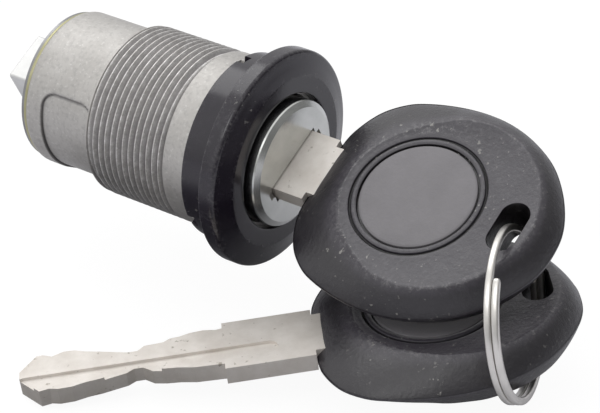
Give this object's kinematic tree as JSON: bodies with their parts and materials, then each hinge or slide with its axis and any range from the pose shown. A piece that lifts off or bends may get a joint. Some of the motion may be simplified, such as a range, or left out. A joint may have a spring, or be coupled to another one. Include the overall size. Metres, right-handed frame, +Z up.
{
  "type": "boot lock cylinder",
  "caption": "Threaded cam-lock cylinder with a black bezel and a square rear drive, its key inserted and a spare key on a split ring.",
  "frame": {"origin": "centre of the bezel flange's back face, where it rests on the panel", "axes": "+Y along the lock axis towards the square drive, so the key side faces -Y; +Z up as the lock lies in the picture"},
  "size_m": [0.0549, 0.0884, 0.0361],
  "materials": {
    "cast_zinc": "satin die-cast zinc, bright thread crests",
    "black_plastic": "gloss",
    "passivated_steel": "yellow-olive passivated",
    "spring_steel": "dark spring steel",
    "plug_zinc": "as cast",
    "polished_cap": "polished",
    "seal_rubber": "matte",
    "bright_steel": "bright plated",
    "nickel_silver": "satin nickel silver",
    "wafer_brass": "stamped",
    "head_plastic": "fine-grained satin",
    "badge_grey": "satin grey",
    "ring_steel": "nickel plated"
  },
  "bodies": {
    "barrel": {"housing": "cast_zinc", "bezel": "black_plastic", "rear_washer": "passivated_steel", "rear_retainer": "spring_steel"},
    "core": {"plug": "plug_zinc", "plug_cap": "polished_cap", "plug_seal": "seal_rubber", "square_drive": "bright_steel", "drive_pin": "spring_steel", "wafer_1": "wafer_brass", "wafer_2": "wafer_brass", "wafer_3": "wafer_brass", "wafer_4": "wafer_brass", "wafer_5": "wafer_brass", "wafer_6": "wafer_brass", "wafer_7": "wafer_brass", "wafer_8": "wafer_brass", "wafer_spring_1": "spring_steel", "wafer_spring_2": "spring_steel", "wafer_spring_3": "spring_steel", "wafer_spring_4": "spring_steel", "wafer_spring_5": "spring_steel", "wafer_spring_6": "spring_steel", "wafer_spring_7": "spring_steel", "wafer_spring_8": "spring_steel"},
    "first_key": {"key_a_blade": "nickel_silver", "key_a_head": "head_plastic", "key_a_badge": "badge_grey"},
    "ring": {"split_ring": "ring_steel"},
    "second_key": {"key_b_blade": "nickel_silver", "key_b_head": "head_plastic", "key_b_badge": "badge_grey"}
  },
  "joints": [
    {"name": "plug_turn", "type": "hinge", "parent": "barrel", "child": "core", "pos_m": [0, 0, 0], "axis": [0, 1, 0], "range_deg": [0, 90]},
    {"name": "key_slide", "type": "slide", "parent": "core", "child": "first_key", "axis": [0, -1, 0], "range_m": [0, 0.045]},
    {"name": "ring_swing", "type": "hinge", "parent": "first_key", "child": "ring", "pos_m": [0.00102, -0.03913, 0.00134], "axis": [-0.8027, -0.1336, 0.5813], "range_deg": [-1.5, 35]},
    {"name": "second_key_turn", "type": "hinge", "parent": "ring", "child": "second_key", "pos_m": [-0.00459, -0.04183, -0.00702], "axis": [0.298, -0.934, 0.1969], "range_deg": [-4, 18]}
  ]
}
